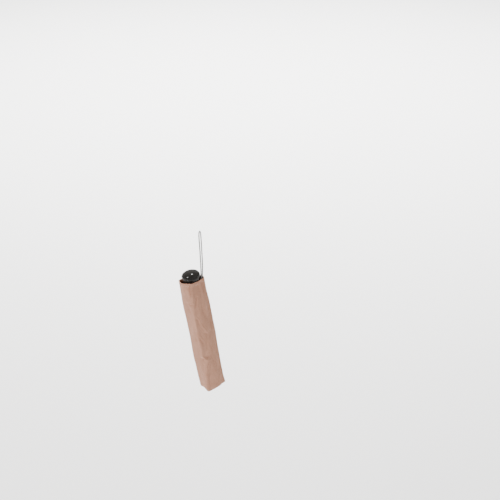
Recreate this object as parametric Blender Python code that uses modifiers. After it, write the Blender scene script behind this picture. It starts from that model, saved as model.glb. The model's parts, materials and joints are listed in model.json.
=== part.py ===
"""Three-fold folding umbrella, closed in its fabric sleeve and hung by its cord.

Metres, +Z up. The origin is where the cord's loop hangs, the inside top of the loop.
The umbrella's own axis leans by TILT, because the cord leaves the handle at one side.
On that axis, z = 0 is the sleeve's mouth, +z runs to the handle and -z to the crown.
"""

import math

import bmesh
import bpy
from mathutils import Matrix, Vector

MM = 0.001

# Place of the umbrella's axis below the hang point
TILT = math.radians(9.6)
MOUTH = Vector((-15.9, 0.0, -94.7)) * MM

# Sleeve
SLEEVE_LENGTH = 224.0 * MM
SLEEVE_RADIUS = 23.2 * MM
SLEEVE_WALL = 0.8 * MM
SLEEVE_EDGE = 1.6 * MM
SLEEVE_TAPER = 0.3 * MM
LIP_TAPER = 0.1 * MM

# Handle, from the dome's top down to the lower face
DOME_TOP = 17.0 * MM
CREASE = 6.5 * MM
HANDLE_RADIUS = 17.8 * MM
GRIP_RADIUS = 17.4 * MM
HANDLE_FOOT = -22.0 * MM
FOOT_RADIUS = 14.8 * MM
SPIGOT_RADIUS = 12.0 * MM
SPIGOT_LENGTH = 2.2 * MM
PIN_RADIUS = 1.0 * MM
PIN_LENGTH = 26.0 * MM
PIN_HEIGHT = -14.0 * MM
GRIP_EDGE = 0.9 * MM
FOOT_EDGE = 1.5 * MM

# The grip's slow taper below the cap: height, and how much narrower it is there
GRIP_TAPER = ((2.0 * MM, 0.2 * MM), (-4.0 * MM, 0.8 * MM), (-12.0 * MM, 1.9 * MM))

# Telescopic shaft: outer radius, lower end, upper end
GAP = 0.3 * MM
TUBE_WALL = 0.5 * MM
LOWER_TUBE = (3.2 * MM, -203.5 * MM, 3.5 * MM)
MIDDLE_TUBE = (4.0 * MM, -204.5 * MM, -23.5 * MM)
UPPER_TUBE = (4.8 * MM, -206.5 * MM, -26.5 * MM)

# Crown and ribs
RIB_COUNT = 6
FIRST_RIB = math.radians(20.0)
HINGE_RADIUS = 7.8 * MM
CROWN_Z = -204.5 * MM
CROWN_RADIUS = 9.0 * MM
CROWN_EDGE = 1.0 * MM
CROWN_SEAT = 3.0 * MM
CROWN_DEPTH = 11.0 * MM
SKIRT_WALL = 1.2 * MM
SKIRT_HEIGHT = 4.0 * MM
CAP_RADIUS = 9.6 * MM
CAP_RIM = 1.0 * MM
CAP_DOME = (9.2 * MM, 4.4 * MM)
RIB_HALF_DEPTH = 1.0 * MM
RIB_THICKNESS = 1.4 * MM
RIB_OFFSET = 0.9 * MM
TOP_LENGTH = 160.0 * MM
KNEE_RADIUS = 9.5 * MM
MIDDLE_RADIUS = 11.2 * MM
ELBOW_RADIUS = 12.6 * MM
OUTER_RADIUS = 14.0 * MM
ELBOW_Z = -202.5 * MM
OUTER_TIP_Z = -30.0 * MM
JOG = 8.0 * MM
KNEE_REACH = 14.0 * MM
STRETCHER_PIN = 62.0 * MM
STRETCHER_LENGTH = 92.0 * MM
WIRE_RADIUS = 0.3 * MM
WIRE_HOLE = 0.6 * MM

# Fold angles at the open limit, each relative to the piece it is hinged on
TOP_OPEN = math.radians(78.0)
MIDDLE_OPEN = math.radians(-190.0)
OUTER_OPEN = math.radians(167.0)

# Canopy cloth, folded flat on the ribs: middle of its thickness, width, lower and upper end
CLOTH = 0.25 * MM
TOP_CLOTH = (9.22 * MM, 7.5 * MM, -198.0 * MM, -70.0 * MM)
MIDDLE_CLOTH = (9.78 * MM, 7.5 * MM, -192.0 * MM, -70.0 * MM)
OUTER_CLOTH = (15.45 * MM, 15.0 * MM, -200.0 * MM, -40.0 * MM)

# Runner on the upper tube, and its catch
RUNNER_NECK = 6.3 * MM
RUNNER_BARREL = 9.5 * MM
RUNNER_TOP = -26.8 * MM
RUNNER_SHOULDER = 9.0 * MM
RUNNER_EDGE = 0.8 * MM
NECK_DROP = 3.0 * MM
SLOT_DEPTH = 1.2 * MM
SLOT_PLAY = 1.2 * MM
SLOT_LENGTH = 80.0 * MM
CATCH_Z = -93.0 * MM
CATCH_LENGTH = 7.0 * MM
CATCH_WIDTH = 1.6 * MM
CATCH_INNER = 5.2 * MM
CATCH_HEIGHT = 1.2 * MM
WINDOW_DEPTH = 4.0 * MM
CATCH_AZIMUTH = FIRST_RIB + math.radians(30.0)

# Closure strap
STRAP_Z = -95.0 * MM
STRAP_WIDTH = 16.0 * MM
STRAP_RADIUS = 18.6 * MM
STRAP_THICKNESS = 0.6 * MM
SNAP_RADIUS = 5.0 * MM
SNAP_THICKNESS = 1.2 * MM

# Cord: diameter, and the points its middle line follows from end to end
CORD_DIAMETER = 2.2 * MM
CORD_POINTS = 80
BOSS_SIZE = Vector((4.2, 9.0, 6.0)) * MM
BOSS_CENTRE = Vector((18.6, 0.0, -12.2)) * MM
BOSS_EDGE = 0.7 * MM
CORD_ROUTE = [
    (3.0, -1.8, -100.0),
    (2.8, -1.9, -94.0),
    (2.4, -2.1, -86.0),
    (2.2, -2.5, -74.0),
    (1.8, -2.9, -60.0),
    (1.2, -3.4, -42.0),
    (0.5, -3.9, -26.0),
    (-0.2, -4.4, -13.0),
    (-0.4, -4.4, -5.5),
    (-0.1, -2.9, -0.6),
    (0.7, -0.1, 1.1),
    (1.7, 2.8, -0.6),
    (2.4, 4.4, -5.5),
    (2.9, 4.4, -13.0),
    (3.6, 3.9, -26.0),
    (4.2, 3.4, -42.0),
    (4.8, 2.9, -60.0),
    (4.8, 2.4, -74.0),
    (4.6, 2.1, -86.0),
    (4.2, 1.9, -94.0),
    (4.0, 1.8, -100.0),
]

ROUND_STEPS = 40
SMALL_STEPS = 24


def clear_scene():
    """Remove whatever the open scene holds."""
    for obj in list(bpy.data.objects):
        bpy.data.objects.remove(obj, do_unlink=True)


def make_collection(name):
    """Add a collection to the scene."""
    group = bpy.data.collections.new(name)
    bpy.context.scene.collection.children.link(group)
    return group


def make_material(name, colour, roughness, metallic=0.0):
    """Plain Principled material."""
    material = bpy.data.materials.new(name)
    material.use_nodes = True
    shader = material.node_tree.nodes["Principled BSDF"]
    shader.inputs["Base Color"].default_value = (*colour, 1.0)
    shader.inputs["Roughness"].default_value = roughness
    shader.inputs["Metallic"].default_value = metallic
    material.diffuse_color = (*colour, 1.0)
    return material


def add_empty(name, parent=None, location=(0, 0, 0), rotation=(0, 0, 0)):
    """Empty that carries a group of parts or marks a joint's axis."""
    empty = bpy.data.objects.new(name, None)
    empty.empty_display_size = 0.01
    empty.location = location
    empty.rotation_euler = rotation
    empty.parent = parent
    PARTS.objects.link(empty)
    return empty


def add_part(name, data, material, parent, location=(0, 0, 0), rotation=(0, 0, 0)):
    """Place one named sub-part under its parent."""
    data.materials.append(material)
    obj = bpy.data.objects.new(name, data)
    obj.location = location
    obj.rotation_euler = rotation
    obj.parent = parent
    PARTS.objects.link(obj)
    return obj


def add_cutter(name, data, parent, location=(0, 0, 0), rotation=(0, 0, 0)):
    """Place a hidden cutting solid."""
    obj = bpy.data.objects.new(name, data)
    obj.location = location
    obj.rotation_euler = rotation
    obj.parent = parent
    obj.hide_render = True
    obj.display_type = "WIRE"
    CUTTERS.objects.link(obj)
    return obj


def cut(obj, cutter):
    """Subtract the cutter with an exact Boolean."""
    boolean = obj.modifiers.new("cut_" + cutter.name, "BOOLEAN")
    boolean.operation = "DIFFERENCE"
    boolean.solver = "EXACT"
    boolean.object = cutter


def turned_mesh(name, profile, closed):
    """Mesh holding a turning profile in the XZ plane, outer side running down."""
    mesh = bpy.data.meshes.new(name)
    edges = [(i, i + 1) for i in range(len(profile) - 1)]
    if closed:
        edges.append((len(profile) - 1, 0))
    mesh.from_pydata([(r, 0.0, z) for r, z in profile], edges, [])
    return mesh


def add_turned(name, profile, material, parent, closed=False, steps=ROUND_STEPS):
    """Turned part: a profile with a Screw modifier round its own Z axis."""
    obj = add_part(name, turned_mesh(name, profile, closed), material, parent)
    screw = obj.modifiers.new("Screw", "SCREW")
    screw.axis = "Z"
    screw.steps = steps
    screw.render_steps = steps
    screw.use_merge_vertices = True
    screw.merge_threshold = 0.00001
    screw.use_smooth_shade = True
    return obj


def tube_profile(outer, wall, low, high):
    """Closed profile of a plain tube."""
    return [(outer - wall, high), (outer, high), (outer, low), (outer - wall, low)]


def arc(centre, radius, start, stop, count):
    """Points on an arc in the plane, angles in degrees, both ends included."""
    points = []
    for i in range(count):
        angle = math.radians(start + (stop - start) * i / (count - 1))
        points.append((centre[0] + radius * math.cos(angle), centre[1] + radius * math.sin(angle)))
    return points


def add_cylinder_mesh(name, radius, length, steps=SMALL_STEPS):
    """Closed cylinder mesh along Z, centred."""
    mesh = bpy.data.meshes.new(name)
    bm = bmesh.new()
    bmesh.ops.create_cone(
        bm, cap_ends=True, segments=steps, radius1=radius, radius2=radius, depth=length
    )
    bm.to_mesh(mesh)
    bm.free()
    return mesh


def add_box_mesh(name, size):
    """Box mesh centred on its origin."""
    mesh = bpy.data.meshes.new(name)
    bm = bmesh.new()
    bmesh.ops.create_cube(bm, size=1.0, matrix=Matrix.Diagonal((*size, 1.0)))
    bm.to_mesh(mesh)
    bm.free()
    return mesh


def bar_outline(path, half_width):
    """Outline of a bar that follows a bent middle line, with round ends."""
    points = [Vector(p) for p in path]
    directions = [(b - a).normalized() for a, b in zip(points, points[1:])]
    right = []
    left = []
    for i, point in enumerate(points):
        before = directions[max(i - 1, 0)]
        after = directions[min(i, len(directions) - 1)]
        middle = (before + after).normalized()
        normal = Vector((middle.y, -middle.x))
        reach = half_width / max(normal.dot(Vector((before.y, -before.x))), 0.5)
        right.append(point + normal * reach)
        left.append(point - normal * reach)
    outline = list(right)
    outline += end_arc(points[-1], directions[-1], half_width)
    outline += list(reversed(left))
    outline += end_arc(points[0], -directions[0], half_width)
    return outline


def end_arc(centre, direction, half_width):
    """Inner points of a half-round bar end, from its right side to its left."""
    side = Vector((direction.y, -direction.x))
    points = []
    for step in range(1, 6):
        angle = math.pi * step / 6
        points.append(centre + side * half_width * math.cos(angle) + direction * half_width * math.sin(angle))
    return points


def flat_bar(name, path, holes=()):
    """Flat bar as a filled 2D curve, given a thickness; holes are (place, radius)."""
    curve = bpy.data.curves.new(name, "CURVE")
    curve.dimensions = "2D"
    curve.fill_mode = "BOTH"
    curve.extrude = RIB_THICKNESS / 2
    outlines = [bar_outline(path, RIB_HALF_DEPTH)]
    for place, radius in holes:
        outlines.append(arc(place, radius, 0, 315, 8))
    for outline in outlines:
        spline = curve.splines.new("POLY")
        spline.points.add(len(outline) - 1)
        for point, place in zip(spline.points, outline):
            point.co = (place[0], place[1], 0.0, 1.0)
        spline.use_cyclic_u = True
    return curve


def build_sleeve(axis, materials):
    """Fabric sleeve: a round bag, open at the mouth, with a flat base."""
    inner = SLEEVE_RADIUS - SLEEVE_WALL
    base = -SLEEVE_LENGTH
    profile = [
        (0.0, base + SLEEVE_WALL),
        (inner - SLEEVE_EDGE, base + SLEEVE_WALL),
        (inner - SLEEVE_TAPER, base + SLEEVE_WALL + SLEEVE_EDGE),
        (inner, base / 2),
        (inner - LIP_TAPER, 0.0),
        (SLEEVE_RADIUS - LIP_TAPER, 0.0),
        (SLEEVE_RADIUS, base / 2),
        (SLEEVE_RADIUS - SLEEVE_TAPER, base + SLEEVE_EDGE),
        (SLEEVE_RADIUS - SLEEVE_EDGE, base),
        (0.0, base),
    ]
    add_turned("sleeve", profile, materials["sleeve"], axis)


def build_handle(axis, materials):
    """Handle: domed cap, grip, cross pin, and the boss that the cord leaves."""
    dome_height = DOME_TOP - CREASE
    dome = []
    for step in range(13):
        angle = math.radians(90.0 - 90.0 * step / 12)
        dome.append((HANDLE_RADIUS * math.cos(angle), CREASE + dome_height * math.sin(angle)))
    dome[0] = (0.0, DOME_TOP)
    spigot_end = CREASE - SPIGOT_LENGTH
    cap = dome + [(SPIGOT_RADIUS, CREASE), (SPIGOT_RADIUS, spigot_end), (0.0, spigot_end)]
    add_turned("handle_cap", cap, materials["handle"], axis)

    socket = SPIGOT_RADIUS + GAP
    bore = LOWER_TUBE[0] + GAP
    grip = [
        (socket, CREASE - GAP),
        (GRIP_RADIUS - GRIP_EDGE / 2, CREASE - GAP),
        (GRIP_RADIUS, CREASE - GRIP_EDGE),
    ]
    grip += [(GRIP_RADIUS - less, height) for height, less in GRIP_TAPER]
    grip += [
        (FOOT_RADIUS, HANDLE_FOOT + FOOT_EDGE),
        (FOOT_RADIUS - GRIP_EDGE, HANDLE_FOOT),
        (bore, HANDLE_FOOT),
        (bore, spigot_end - GAP),
        (socket, spigot_end - GAP),
    ]
    grip_obj = add_turned("handle_grip", grip, materials["handle"], axis, closed=True)

    lower = tube_profile(LOWER_TUBE[0], TUBE_WALL, LOWER_TUBE[1], LOWER_TUBE[2])
    lower_obj = add_turned("lower_tube", lower, materials["steel"], axis, True, SMALL_STEPS)

    across = (math.pi / 2, 0.0, 0.0)
    pin_hole = add_cylinder_mesh("pin_hole", PIN_RADIUS + GAP, 3 * HANDLE_RADIUS, 12)
    hole = add_cutter("pin_hole", pin_hole, axis, (0.0, 0.0, PIN_HEIGHT), across)
    cut(grip_obj, hole)
    cut(lower_obj, hole)
    pin = add_cylinder_mesh("handle_pin", PIN_RADIUS, PIN_LENGTH, 12)
    add_part("handle_pin", pin, materials["steel"], axis, (0.0, 0.0, PIN_HEIGHT), across)

    boss = add_part(
        "cord_boss", add_box_mesh("cord_boss", BOSS_SIZE), materials["handle"], axis, BOSS_CENTRE
    )
    bevel = boss.modifiers.new("Bevel", "BEVEL")
    bevel.width = BOSS_EDGE
    bevel.segments = 2
    bevel.limit_method = "ANGLE"


def build_tubes(axis, materials):
    """Middle and upper tubes of the telescopic shaft, with the catch's window."""
    middle = tube_profile(MIDDLE_TUBE[0], TUBE_WALL, MIDDLE_TUBE[1], MIDDLE_TUBE[2])
    add_turned("middle_tube", middle, materials["steel"], axis, True, SMALL_STEPS)
    upper = tube_profile(UPPER_TUBE[0], TUBE_WALL, UPPER_TUBE[1], UPPER_TUBE[2])
    upper_obj = add_turned("upper_tube", upper, materials["steel"], axis, True, SMALL_STEPS)

    catch_frame = add_empty("catch_frame", axis, (0.0, 0.0, CATCH_Z), (0.0, 0.0, CATCH_AZIMUTH))
    window_size = (WINDOW_DEPTH, CATCH_WIDTH + 2 * GAP, CATCH_LENGTH + 2 * GAP)
    window = add_box_mesh("catch_window", window_size)
    window_obj = add_cutter("catch_window", window, catch_frame, (UPPER_TUBE[0], 0.0, 0.0))
    cut(upper_obj, window_obj)
    catch = bpy.data.curves.new("runner_catch", "CURVE")
    catch.dimensions = "2D"
    catch.fill_mode = "BOTH"
    catch.extrude = CATCH_WIDTH / 2
    half = CATCH_LENGTH / 2
    outline = [(0.0, -half), (CATCH_HEIGHT * 0.25, -half), (CATCH_HEIGHT, half), (0.0, half)]
    spline = catch.splines.new("POLY")
    spline.points.add(len(outline) - 1)
    for point, place in zip(spline.points, reversed(outline)):
        point.co = (place[0], place[1], 0.0, 1.0)
    spline.use_cyclic_u = True
    place = (CATCH_INNER, 0.0, 0.0)
    add_part("runner_catch", catch, materials["steel"], catch_frame, place, (math.pi / 2, 0.0, 0.0))


def build_crown(axis, materials):
    """Crown that the ribs are pinned on, its wire, and the end cap."""
    tube = UPPER_TUBE[0] + GAP
    seat = CROWN_Z - CROWN_SEAT
    base = CROWN_Z - CROWN_DEPTH
    crown = [
        (0.0, seat),
        (tube, seat),
        (tube, CROWN_Z + SKIRT_HEIGHT),
        (tube + SKIRT_WALL, CROWN_Z + SKIRT_HEIGHT),
        (tube + SKIRT_WALL, seat + GAP),
        (CROWN_RADIUS - CROWN_EDGE, seat),
        (CROWN_RADIUS, seat - CROWN_EDGE),
        (CROWN_RADIUS, base + CROWN_EDGE),
        (CROWN_RADIUS - CROWN_EDGE, base),
        (0.0, base),
    ]
    add_turned("crown", crown, materials["handle"], axis)
    base -= GAP
    cap = [(0.0, base), (CAP_RADIUS, base)]
    for step in range(5):
        angle = math.radians(18.0 * step)
        reach = CAP_DOME[0] * math.cos(angle)
        cap.append((reach, base - CAP_RIM - CAP_DOME[1] * math.sin(angle)))
    cap.append((0.0, base - CAP_RIM - CAP_DOME[1]))
    add_turned("crown_cap", cap, materials["handle"], axis)
    add_ring("crown_wire", axis, CROWN_Z, materials["steel"])


def add_ring(name, parent, height, material):
    """Wire ring that pins the bars to their hub."""
    bpy.ops.mesh.primitive_torus_add(
        major_radius=HINGE_RADIUS, minor_radius=WIRE_RADIUS, major_segments=36, minor_segments=6
    )
    ring = bpy.context.object
    mesh = ring.data
    bpy.data.objects.remove(ring)
    add_part(name, mesh, material, parent, (0.0, 0.0, height))


def build_runner(axis, materials):
    """Runner with a neck for the stretchers, slotted to pass over the catch."""
    hinge = CROWN_Z + STRETCHER_PIN + STRETCHER_LENGTH
    bore = UPPER_TUBE[0] + GAP
    frame = add_empty("runner_frame", axis, (0.0, 0.0, hinge))
    top = RUNNER_TOP - hinge
    profile = [
        (bore, top),
        (RUNNER_BARREL - RUNNER_EDGE, top),
        (RUNNER_BARREL, top - RUNNER_EDGE),
        (RUNNER_BARREL, RUNNER_SHOULDER + RUNNER_EDGE),
        (RUNNER_BARREL - RUNNER_EDGE, RUNNER_SHOULDER),
        (RUNNER_NECK, RUNNER_SHOULDER),
        (RUNNER_NECK, -NECK_DROP),
        (bore, -NECK_DROP),
    ]
    runner = add_turned("runner", profile, materials["handle"], frame, closed=True, steps=30)
    reach = CATCH_INNER + CATCH_HEIGHT + 2 * GAP - bore + SLOT_DEPTH
    slot_size = (2 * reach, CATCH_WIDTH + SLOT_PLAY, SLOT_LENGTH)
    slot = add_box_mesh("runner_slot", slot_size)
    turn = (0.0, 0.0, CATCH_AZIMUTH)
    slot_frame = add_empty("slot_frame", frame, (0.0, 0.0, 0.0), turn)
    slot_obj = add_cutter("runner_slot", slot, slot_frame, (bore - SLOT_DEPTH, 0.0, 0.0))
    cut(runner, slot_obj)
    add_ring("runner_wire", frame, 0.0, materials["steel"])


def rotation_about(angle, place):
    """Turn in a rib's own plane, positive from the shaft outwards, about (radius, height)."""
    centre = Vector((place[0], 0.0, place[1]))
    return Matrix.Translation(centre) @ Matrix.Rotation(angle, 4, "Y") @ Matrix.Translation(-centre)


def build_rib(index, axis, materials):
    """One folded rib of three bars, its stretcher, and the cloth folded on each bar."""
    number = str(index + 1)
    azimuth = FIRST_RIB + index * 2 * math.pi / RIB_COUNT
    plane = add_empty("rib_plane_" + number, axis, (0, 0, 0), (0.0, 0.0, azimuth))
    upright = (math.pi / 2, 0.0, 0.0)
    knee_z = CROWN_Z + TOP_LENGTH
    jog_in = KNEE_RADIUS - HINGE_RADIUS

    path = [(0, 0), (0, TOP_LENGTH - KNEE_REACH - JOG), (jog_in, TOP_LENGTH - KNEE_REACH)]
    path.append((jog_in, TOP_LENGTH))
    data = flat_bar("top_rib_" + number, path, [((0, 0), WIRE_HOLE)])
    place = (HINGE_RADIUS, -RIB_OFFSET, CROWN_Z)
    add_part("top_rib_" + number, data, materials["rib"], plane, place, upright)

    drop = ELBOW_Z - knee_z
    jog = MIDDLE_RADIUS - KNEE_RADIUS
    path = [(0, 0), (jog, -JOG), (jog, drop + JOG), (ELBOW_RADIUS - KNEE_RADIUS, drop)]
    data = flat_bar("middle_rib_" + number, path)
    place = (KNEE_RADIUS, RIB_OFFSET, knee_z)
    add_part("middle_rib_" + number, data, materials["rib"], plane, place, upright)

    jog = OUTER_RADIUS - ELBOW_RADIUS
    path = [(0, 0), (jog, JOG), (jog, OUTER_TIP_Z - ELBOW_Z)]
    data = flat_bar("outer_rib_" + number, path)
    place = (ELBOW_RADIUS, -RIB_OFFSET, ELBOW_Z)
    add_part("outer_rib_" + number, data, materials["rib"], plane, place, upright)

    path = [(0, 0), (0, -STRETCHER_LENGTH)]
    data = flat_bar("stretcher_" + number, path, [((0, 0), WIRE_HOLE)])
    runner_z = CROWN_Z + STRETCHER_PIN + STRETCHER_LENGTH
    place = (HINGE_RADIUS, RIB_OFFSET, runner_z)
    add_part("stretcher_" + number, data, materials["rib"], plane, place, upright)

    # Each cloth fans out to the next rib round the line that the shaft's axis becomes
    # when the opened bar is carried back to its folded place.
    top_turn = rotation_about(TOP_OPEN, (HINGE_RADIUS, CROWN_Z))
    middle_turn = top_turn @ rotation_about(MIDDLE_OPEN, (KNEE_RADIUS, knee_z))
    outer_turn = middle_turn @ rotation_about(OUTER_OPEN, (ELBOW_RADIUS, ELBOW_Z))
    shaft = Matrix.Translation((0.0, 0.0, CROWN_Z))
    folds = (
        ("canopy_top_", TOP_CLOTH, top_turn),
        ("canopy_middle_", MIDDLE_CLOTH, middle_turn),
        ("canopy_outer_", OUTER_CLOTH, outer_turn),
    )
    for prefix, cloth, turn in folds:
        radius, width, low, high = cloth
        folded = turn.inverted() @ shaft
        fan = add_empty(prefix + "fan_" + number, plane)
        fan.matrix_basis = folded
        mesh = add_box_mesh(prefix + number, (CLOTH, width, high - low))
        piece = add_part(prefix + number, mesh, materials["canopy"], fan)
        centre = Matrix.Translation((radius, 0.0, (low + high) / 2))
        piece.matrix_basis = folded.inverted() @ centre


def build_strap(axis, materials):
    """Closure strap round the bundle, and its snap fastener."""
    outer = STRAP_RADIUS + STRAP_THICKNESS / 2
    low = STRAP_Z - STRAP_WIDTH / 2
    ring = tube_profile(outer, STRAP_THICKNESS, low, low + STRAP_WIDTH)
    add_turned("closure_strap", ring, materials["canopy"], axis, True, SMALL_STEPS)
    reach = outer + GAP + SNAP_THICKNESS / 2
    place = (reach * math.cos(FIRST_RIB), reach * math.sin(FIRST_RIB), STRAP_Z)
    disc = add_cylinder_mesh("strap_snap", SNAP_RADIUS, SNAP_THICKNESS, 20)
    add_part("strap_snap", disc, materials["steel"], axis, place, (0.0, math.pi / 2, FIRST_RIB))


def smooth_route(points, count):
    """Points evenly spaced along a smooth curve through the given ones."""
    places = [Vector(p) * MM for p in points]
    places = [2 * places[0] - places[1]] + places + [2 * places[-1] - places[-2]]
    dense = []
    for a, b, c, d in zip(places, places[1:], places[2:], places[3:]):
        for step in range(20):
            t = step / 20
            dense.append(
                0.5 * (2 * b + (c - a) * t + (2 * a - 5 * b + 4 * c - d) * t**2
                       + (3 * b - a - 3 * c + d) * t**3)
            )
    dense.append(places[-2])
    lengths = [0.0]
    for a, b in zip(dense, dense[1:]):
        lengths.append(lengths[-1] + (b - a).length)
    even = []
    at = 0
    for i in range(count):
        goal = lengths[-1] * i / (count - 1)
        while at < len(dense) - 2 and lengths[at + 1] < goal:
            at += 1
        share = (goal - lengths[at]) / (lengths[at + 1] - lengths[at])
        even.append(dense[at].lerp(dense[at + 1], min(share, 1.0)))
    return even


def build_cord(materials):
    """Cord loop, from the boss up to the hang point and back."""
    curve = bpy.data.curves.new("hang_cord", "CURVE")
    curve.dimensions = "3D"
    curve.bevel_depth = CORD_DIAMETER / 2
    curve.bevel_resolution = 2
    curve.use_fill_caps = True
    route = smooth_route(CORD_ROUTE, CORD_POINTS)
    spline = curve.splines.new("POLY")
    spline.points.add(len(route) - 1)
    for point, place in zip(spline.points, route):
        point.co = (*place, 1.0)
    add_part("hang_cord", curve, materials["cord"], None)


def main():
    """Build the whole umbrella."""
    materials = {
        "sleeve": make_material("sleeve", (0.46, 0.29, 0.23), 0.85),
        "canopy": make_material("canopy", (0.46, 0.29, 0.23), 0.7),
        "handle": make_material("handle", (0.015, 0.014, 0.013), 0.2),
        "steel": make_material("steel", (0.55, 0.55, 0.55), 0.3, 1.0),
        "rib": make_material("rib", (0.10, 0.10, 0.10), 0.4, 0.8),
        "cord": make_material("cord", (0.70, 0.69, 0.67), 0.6),
    }
    axis = add_empty("umbrella_axis", None, MOUTH, (0.0, -TILT, 0.0))
    build_sleeve(axis, materials)
    build_handle(axis, materials)
    build_tubes(axis, materials)
    build_crown(axis, materials)
    build_runner(axis, materials)
    for index in range(RIB_COUNT):
        build_rib(index, axis, materials)
    build_strap(axis, materials)
    build_cord(materials)


clear_scene()
PARTS = make_collection("folding_umbrella")
CUTTERS = make_collection("cutters")
main()
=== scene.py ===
"""Looks of the folding umbrella in its sleeve: cloth, cord, handle, ribs and shaft on the frame."""

import json
import math

import bmesh
import bpy
import numpy as np
from mathutils import Matrix, Vector


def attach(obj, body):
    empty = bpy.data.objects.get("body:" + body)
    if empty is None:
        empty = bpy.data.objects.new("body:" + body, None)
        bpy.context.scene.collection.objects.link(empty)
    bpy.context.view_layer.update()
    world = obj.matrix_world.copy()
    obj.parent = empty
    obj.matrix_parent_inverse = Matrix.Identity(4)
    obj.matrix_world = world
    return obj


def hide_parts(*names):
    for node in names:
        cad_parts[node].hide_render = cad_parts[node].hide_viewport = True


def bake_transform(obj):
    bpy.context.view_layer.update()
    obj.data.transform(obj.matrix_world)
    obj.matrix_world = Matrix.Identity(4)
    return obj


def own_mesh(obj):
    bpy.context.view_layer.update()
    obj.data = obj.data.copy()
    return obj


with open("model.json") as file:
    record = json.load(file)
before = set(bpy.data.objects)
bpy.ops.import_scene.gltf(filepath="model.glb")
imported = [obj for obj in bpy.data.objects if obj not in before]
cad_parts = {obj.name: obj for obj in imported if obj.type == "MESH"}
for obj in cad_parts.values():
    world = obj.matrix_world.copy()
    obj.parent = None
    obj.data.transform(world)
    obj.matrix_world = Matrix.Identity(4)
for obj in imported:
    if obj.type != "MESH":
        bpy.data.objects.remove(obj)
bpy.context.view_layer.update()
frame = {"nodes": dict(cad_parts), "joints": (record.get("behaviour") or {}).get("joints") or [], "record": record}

MM = 0.001
RIBS = 6

# Heights on the umbrella's own axis in millimetres: 0 at the sleeve's mouth, negative inside it
SLEEVE_LENGTH = 224.0
CROWN_Z = -204.5
KNEE_Z = CROWN_Z + 160.0
ELBOW_Z = -202.5
RIB_TIP_Z = -30.0
STRETCHER_PIN_Z = CROWN_Z + 62.0
STRAP_Z = -95.0

# Distances from the axis, in millimetres
SLEEVE_MEAN_RADIUS = 23.0
KNEE_RADIUS = 9.5
ELBOW_RADIUS = 12.6
STRETCHER_PIN_RADIUS = 7.8
RIB_TIP_RADIUS = 14.0
STRAP_RADIUS = 18.45
SNAP_RADIUS = 19.5

# Azimuths round the axis: the first rib's in radians, the others in degrees
FIRST_RIB = math.radians(20.0)
SEAM_AZIMUTH = 84.0
BOSS_AZIMUTH = 3.0
SNAP_AZIMUTH = 21.0

# The sleeve's girth, in metres, which its weave is laid out by
SLEEVE_GIRTH = 0.1440

# The cloths' thicknesses and half the strap's width, in millimetres
SLEEVE_THICKNESS = 0.45
CANOPY_THICKNESS = 0.12
STRAP_THICKNESS = 0.3
STRAP_HALF_WIDTH = 7.6

# Camera and floor, in metres of the row frame
CAMERA_TARGET = (0.093, 0.0, -0.036)
CAMERA_DISTANCE = 2.14
CAMERA_PITCH = math.radians(23.3)
CAMERA_LENS = 83.7
FLOOR_Z = -0.80
FLOOR_HALF_SIZE = 14.0

# The cord's diameter and the length of one turn of its braid, in millimetres
CORD_DIAMETER = 2.2
CORD_LAY = 5.2

# The cord's route, from the boss on the grip over the hang point and back, in millimetres of the
# row frame, whose origin is the hang point
CORD_ROUTE = [
    (3.0, -1.8, -100.0),
    (2.8, -1.9, -94.0),
    (2.4, -2.1, -86.0),
    (2.2, -2.5, -74.0),
    (1.8, -2.9, -60.0),
    (1.2, -3.4, -42.0),
    (0.5, -3.9, -26.0),
    (-0.2, -4.4, -13.0),
    (-0.4, -4.4, -5.5),
    (-0.1, -2.9, -0.6),
    (0.7, -0.1, 1.1),
    (1.7, 2.8, -0.6),
    (2.4, 4.4, -5.5),
    (2.9, 4.4, -13.0),
    (3.6, 3.9, -26.0),
    (4.2, 3.4, -42.0),
    (4.8, 2.9, -60.0),
    (4.8, 2.4, -74.0),
    (4.6, 2.1, -86.0),
    (4.2, 1.9, -94.0),
    (4.0, 1.8, -100.0),
]


# ---------------------------------------------------------------- frame and places


def umbrella_axis():
    """Matrix from the umbrella's own axes, in millimetres, to the row frame, in metres."""
    mounts = {m["name"]: m for m in frame["record"]["mounts"]}
    up = -Vector(mounts["sleeve_base"]["axis"]).normalized()
    places = {j["name"]: Vector(j["pos_m"]) for j in frame["joints"] if "pos_m" in j}
    names = ["canopy_open"] + [f"top_rib_{k}_fold" for k in range(2, RIBS + 1)]
    crown = sum((places[name] for name in names), Vector()) / RIBS
    side = Vector((0, 1, 0)).cross(up)
    turn = Matrix((side, (0, 1, 0), up)).transposed().to_4x4()
    return Matrix.Translation(crown - up * CROWN_Z * MM) @ turn @ Matrix.Scale(MM, 4)


AXIS = umbrella_axis()


def rib_azimuth(k):
    """Azimuth of the k-th rib on the umbrella's axis, in radians."""
    return FIRST_RIB + (k - 1) * 2 * math.pi / RIBS


def smoothstep(x, low, high):
    """Smooth 0 to 1 ramp between low and high."""
    t = np.clip((np.asarray(x, float) - low) / (high - low), 0.0, 1.0)
    return t * t * (3.0 - 2.0 * t)


# ---------------------------------------------------------------- mesh helpers


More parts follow.
